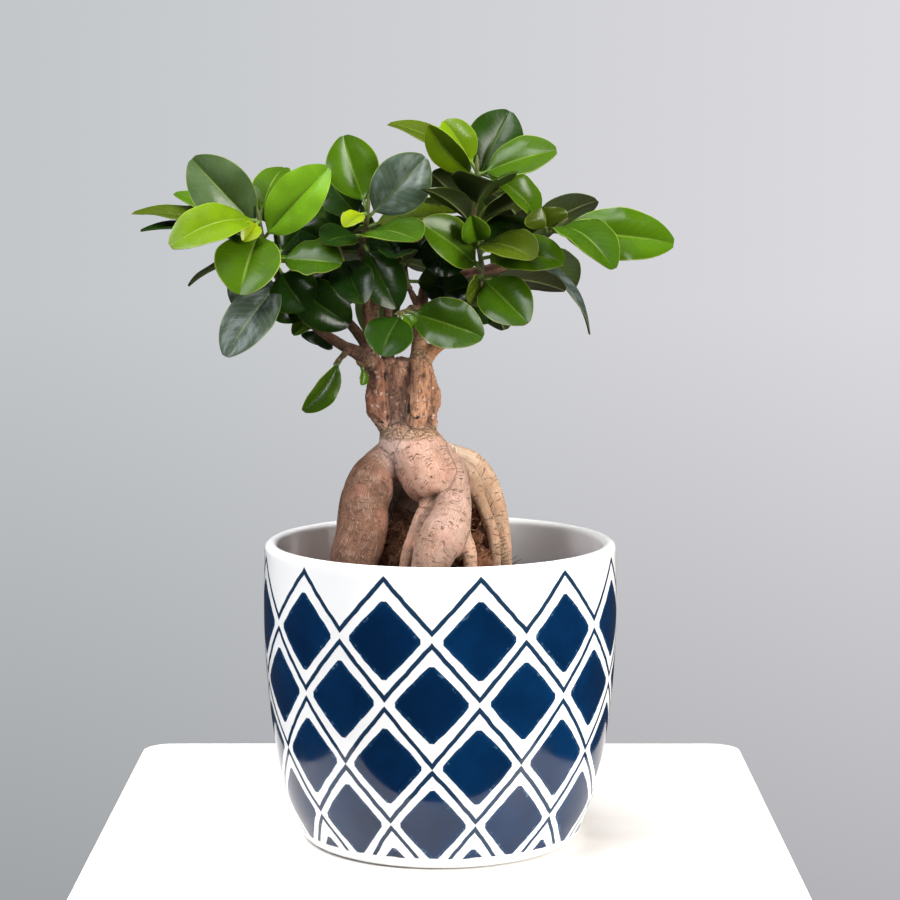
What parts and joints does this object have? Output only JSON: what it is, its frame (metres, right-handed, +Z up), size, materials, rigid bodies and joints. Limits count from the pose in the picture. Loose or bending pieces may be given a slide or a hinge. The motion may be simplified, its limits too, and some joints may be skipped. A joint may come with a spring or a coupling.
{
  "type": "potted ginseng ficus",
  "caption": "Bonsai-like ficus with thick swollen roots, grafted branches and glossy oval leaves, standing in a nursery pot inside a round glazed pot with a dark diamond lattice.",
  "frame": {"origin": "centre of the ceramic pot's flat underside, on the floor plane", "axes": "+Z up along the pot's axis, -Y towards the viewer of the picture, +X to the viewer's right"},
  "size_m": [0.2121, 0.1508, 0.2909],
  "materials": {
    "glaze": "gloss",
    "plastic": "satin",
    "soil": "matte",
    "bark": "matte",
    "leaf": "satin"
  },
  "bodies": {
    "root": {"pot": "glaze", "grow_pot": "plastic", "soil": "soil", "trunk": "bark", "shoot_left_outer": "leaf", "shoot_left_inner": "leaf", "shoot_left_low": "leaf", "shoot_left_hanging": "leaf", "shoot_sprout": "leaf", "shoot_centre": "leaf", "shoot_centre_left": "leaf", "shoot_centre_low": "leaf", "shoot_inner": "leaf", "shoot_right_top": "leaf", "shoot_right_mid": "leaf", "shoot_right_outer": "leaf", "shoot_back_left": "leaf", "shoot_back_mid": "leaf", "shoot_back_right": "leaf", "shoot_right_back": "leaf", "shoot_top_back": "leaf"}
  },
  "joints": []
}
